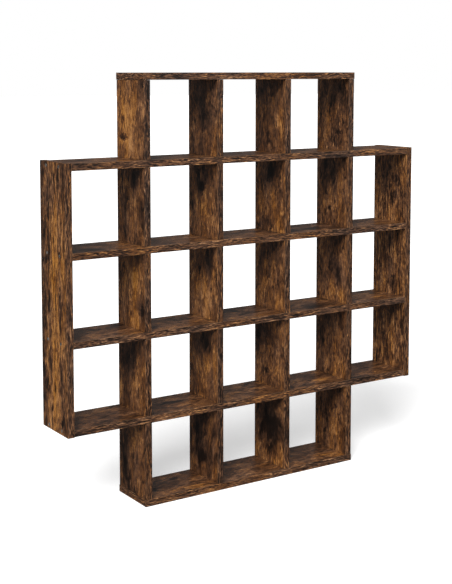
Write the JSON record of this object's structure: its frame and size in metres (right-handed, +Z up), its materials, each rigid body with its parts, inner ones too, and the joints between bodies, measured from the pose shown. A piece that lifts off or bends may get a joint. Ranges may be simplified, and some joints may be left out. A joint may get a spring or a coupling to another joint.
{
  "type": "cube storage unit",
  "caption": "Free-standing stepped shelving of open cubes, used as a bookcase or a room divider: board panels with smoked-oak finish, open at front and rear.",
  "frame": {"origin": "on the floor, at the middle of the bottom board's underside", "axes": "+Z up, -Y out of the front edges, +X to the right seen from the front"},
  "size_m": [1.55, 0.2023, 1.55],
  "materials": {
    "side_panel_oak": "satin smoked-oak foil with upright grain and golden streaks",
    "shelf_oak": "satin smoked-oak foil with grain along the board",
    "divider_oak": "satin smoked-oak foil with upright grain and knots",
    "connector_steel": "zinc-plated screw heads",
    "plate_steel": "zinc-plated sheet"
  },
  "bodies": {
    "root": {"bottom_board": "shelf_oak", "bottom_screw_1": "connector_steel", "bottom_screw_2": "connector_steel", "bottom_screw_3": "connector_steel", "bottom_screw_4": "connector_steel", "divider_row1_1": "divider_oak", "divider_row1_2": "divider_oak", "divider_row1_3": "divider_oak", "divider_row1_4": "divider_oak", "divider_row2_1": "divider_oak", "divider_row2_2": "divider_oak", "divider_row2_3": "divider_oak", "divider_row2_4": "divider_oak", "divider_row3_1": "divider_oak", "divider_row3_2": "divider_oak", "divider_row3_3": "divider_oak", "divider_row3_4": "divider_oak", "divider_row4_1": "divider_oak", "divider_row4_2": "divider_oak", "divider_row4_3": "divider_oak", "divider_row4_4": "divider_oak", "divider_row5_1": "divider_oak", "divider_row5_2": "divider_oak", "divider_row5_3": "divider_oak", "divider_row5_4": "divider_oak", "plate_screw_left_lower": "plate_steel", "plate_screw_left_upper": "plate_steel", "plate_screw_right_lower": "plate_steel", "plate_screw_right_upper": "plate_steel", "shelf_board_1": "shelf_oak", "shelf_board_2": "shelf_oak", "shelf_board_3": "shelf_oak", "shelf_board_4": "shelf_oak", "side_panel_left": "side_panel_oak", "side_panel_right": "side_panel_oak", "side_screw_left_1_front": "connector_steel", "side_screw_left_1_rear": "connector_steel", "side_screw_left_2_front": "connector_steel", "side_screw_left_2_rear": "connector_steel", "side_screw_left_3_front": "connector_steel", "side_screw_left_3_rear": "connector_steel", "side_screw_left_4_front": "connector_steel", "side_screw_left_4_rear": "connector_steel", "side_screw_right_1_front": "connector_steel", "side_screw_right_1_rear": "connector_steel", "side_screw_right_2_front": "connector_steel", "side_screw_right_2_rear": "connector_steel", "side_screw_right_3_front": "connector_steel", "side_screw_right_3_rear": "connector_steel", "side_screw_right_4_front": "connector_steel", "side_screw_right_4_rear": "connector_steel", "top_board": "shelf_oak", "top_screw_1": "connector_steel", "top_screw_2": "connector_steel", "top_screw_3": "connector_steel", "top_screw_4": "connector_steel", "wall_plate_left": "plate_steel", "wall_plate_right": "plate_steel"}
  },
  "joints": []
}
